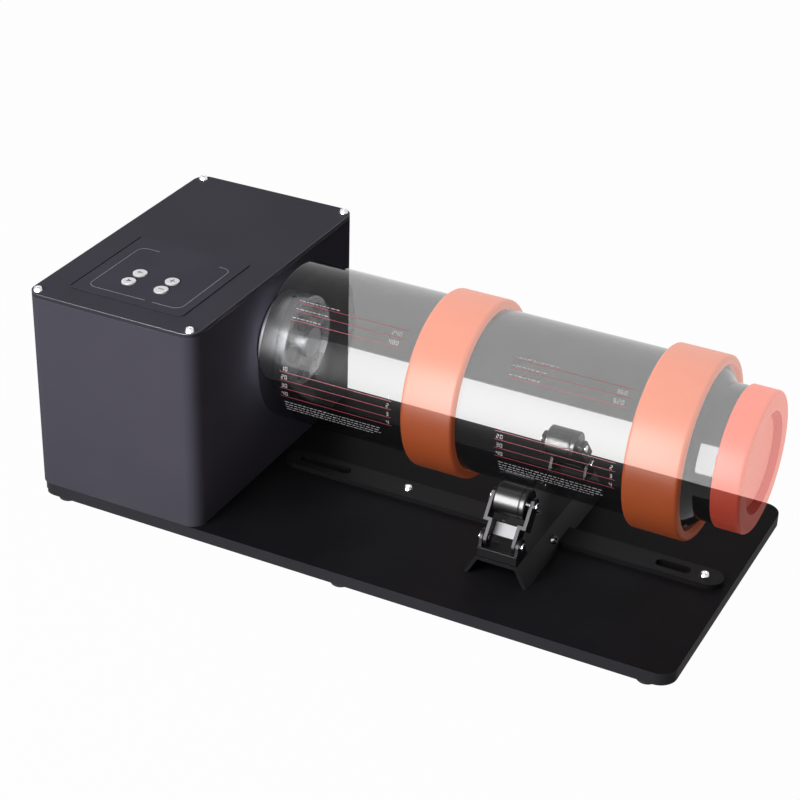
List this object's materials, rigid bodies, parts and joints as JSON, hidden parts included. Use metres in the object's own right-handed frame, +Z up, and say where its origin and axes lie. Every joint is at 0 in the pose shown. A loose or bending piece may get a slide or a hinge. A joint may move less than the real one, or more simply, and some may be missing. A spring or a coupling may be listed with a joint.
{
  "type": "rotary film processor",
  "caption": "Rotary film processor: a keypad motor housing on a base plate turns a see-through daylight film tank with clamp rings and cap, lying on rollers on a sliding carriage.",
  "frame": {"origin": "on the floor under the middle of the whole object's box", "axes": "+X along the tank axis from the motor housing to the tank's cap, -Y the keypad side, +Z up"},
  "size_m": [0.3924, 0.18, 0.141],
  "materials": {
    "black_plate": "satin black powder coat",
    "rubber": "matt",
    "black_rail": "satin black anodised",
    "bright_steel": "bright",
    "black_housing": "fine satin black anodised",
    "black_lid": "fine satin black anodised",
    "overlay": "fine matt film",
    "button_white": "satin",
    "board": "solder mask",
    "component": "moulded",
    "brass": "turned",
    "plain_alloy": "milled",
    "motor_can": "drawn steel",
    "gear_nylon": "moulded",
    "lead": "satin",
    "magnet": "nickel plated",
    "jack": "moulded",
    "tank_plastic": "glossy smoked",
    "ring_orange": "glossy moulded",
    "cap_orange": "satin moulded",
    "seal": "smooth",
    "black_sheet": "semi-gloss black",
    "roller": "satin",
    "shoe": "moulded"
  },
  "bodies": {
    "chassis": {"base_plate": "black_plate", "rubber_feet": "rubber", "guide_rail": "black_rail", "rail_screws": "bright_steel", "housing_shell": "black_housing", "base_screws": "bright_steel", "lid": "black_lid", "lid_screws": "bright_steel", "keypad_overlay": "overlay", "control_board": "board", "board_standoffs": "brass", "tact_switches": "component", "board_components": "component", "power_lead": "lead", "motor_lead": "lead", "gearbox_front_plate": "plain_alloy", "gearbox_rear_plate": "plain_alloy", "gearbox_pillars": "plain_alloy", "gearbox_screws": "bright_steel", "motor": "motor_can", "motor_screws": "bright_steel", "front_bearing": "bright_steel", "rear_bearing": "bright_steel", "power_jack": "jack", "jack_nut": "plain_alloy"},
    "drive": {"drive_shaft": "bright_steel", "drive_gear": "gear_nylon", "drive_hub": "plain_alloy", "hub_magnets": "magnet", "hub_set_screw": "bright_steel"},
    "pinion": {"motor_pinion": "brass"},
    "tank": {"magnet_base": "black_sheet", "tank_magnets": "magnet", "first_tank_body": "tank_plastic"},
    "tank_extension": {"second_tank_body": "tank_plastic", "first_seal": "seal"},
    "funnel": {"funnel_lid": "tank_plastic", "second_seal": "seal", "cap_seal": "seal"},
    "cap": {"tank_cap": "cap_orange"},
    "first_ring": {"first_clamp_ring": "ring_orange"},
    "second_ring": {"second_clamp_ring": "ring_orange"},
    "carriage": {"carriage_saddle": "black_sheet", "guide_shoe": "shoe", "shoe_screws": "bright_steel", "clamp_screw": "bright_steel", "clamp_nut": "bright_steel", "near_bracket": "black_sheet", "far_bracket": "black_sheet", "pivot_pins": "bright_steel"},
    "near_arm": {"near_yoke": "black_sheet", "near_axle": "bright_steel"},
    "far_arm": {"far_yoke": "black_sheet", "far_axle": "bright_steel"},
    "near_wheel": {"near_roller": "roller"},
    "far_wheel": {"far_roller": "roller"},
    "start_key": {"start_button": "button_white"},
    "reverse_key": {"reverse_button": "button_white"},
    "faster_key": {"faster_button": "button_white"},
    "slower_key": {"slower_button": "button_white"}
  },
  "joints": [
    {"name": "drive_spin", "type": "hinge", "parent": "chassis", "child": "drive", "pos_m": [-0.07115, 0, 0.09105], "axis": [1, 0, 0], "continuous": true},
    {"name": "pinion_spin", "type": "hinge", "parent": "chassis", "child": "pinion", "pos_m": [-0.11615, 0.02712, 0.09105], "axis": [1, 0, 0], "continuous": true},
    {"name": "tank_pull", "type": "slide", "parent": "drive", "child": "tank", "axis": [1, 0, 0], "range_m": [0, 0.012]},
    {"name": "extension_pull", "type": "slide", "parent": "tank", "child": "tank_extension", "axis": [1, 0, 0], "range_m": [0, 0.02]},
    {"name": "funnel_pull", "type": "slide", "parent": "tank_extension", "child": "funnel", "axis": [1, 0, 0], "range_m": [0, 0.02]},
    {"name": "cap_pull", "type": "slide", "parent": "funnel", "child": "cap", "axis": [1, 0, 0], "range_m": [0, 0.02]},
    {"name": "first_ring_slide", "type": "slide", "parent": "tank", "child": "first_ring", "axis": [1, 0, 0], "range_m": [-0.06, 0]},
    {"name": "second_ring_slide", "type": "slide", "parent": "tank_extension", "child": "second_ring", "axis": [1, 0, 0], "range_m": [0, 0.03]},
    {"name": "carriage_slide", "type": "slide", "parent": "chassis", "child": "carriage", "axis": [1, 0, 0], "range_m": [-0.004, 0.048]},
    {"name": "near_arm_tilt", "type": "hinge", "parent": "carriage", "child": "near_arm", "pos_m": [0.07335, -0.04812, 0.0312], "axis": [1, 0, 0], "range_deg": [-10, 25]},
    {"name": "far_arm_tilt", "type": "hinge", "parent": "carriage", "child": "far_arm", "pos_m": [0.07335, 0.04812, 0.0312], "axis": [-1, 0, 0], "range_deg": [-10, 25]},
    {"name": "near_roller_spin", "type": "hinge", "parent": "near_arm", "child": "near_wheel", "pos_m": [0.07335, -0.03387, 0.04893], "axis": [1, 0, 0], "continuous": true},
    {"name": "far_roller_spin", "type": "hinge", "parent": "far_arm", "child": "far_wheel", "pos_m": [0.07335, 0.03387, 0.04893], "axis": [1, 0, 0], "continuous": true},
    {"name": "start_press", "type": "slide", "parent": "chassis", "child": "start_key", "axis": [0, 0, -1], "range_m": [0, 0.0006], "stiffness_N_per_m": 600},
    {"name": "reverse_press", "type": "slide", "parent": "chassis", "child": "reverse_key", "axis": [0, 0, -1], "range_m": [0, 0.0006], "stiffness_N_per_m": 600},
    {"name": "faster_press", "type": "slide", "parent": "chassis", "child": "faster_key", "axis": [0, 0, -1], "range_m": [0, 0.0006], "stiffness_N_per_m": 600},
    {"name": "slower_press", "type": "slide", "parent": "chassis", "child": "slower_key", "axis": [0, 0, -1], "range_m": [0, 0.0006], "stiffness_N_per_m": 600}
  ],
  "couplings": [
    {"joint": "pinion_spin", "follows": "drive_spin", "ratio": -2},
    {"joint": "near_roller_spin", "follows": "drive_spin", "ratio": -5.1429},
    {"joint": "far_roller_spin", "follows": "drive_spin", "ratio": -5.1429}
  ]
}
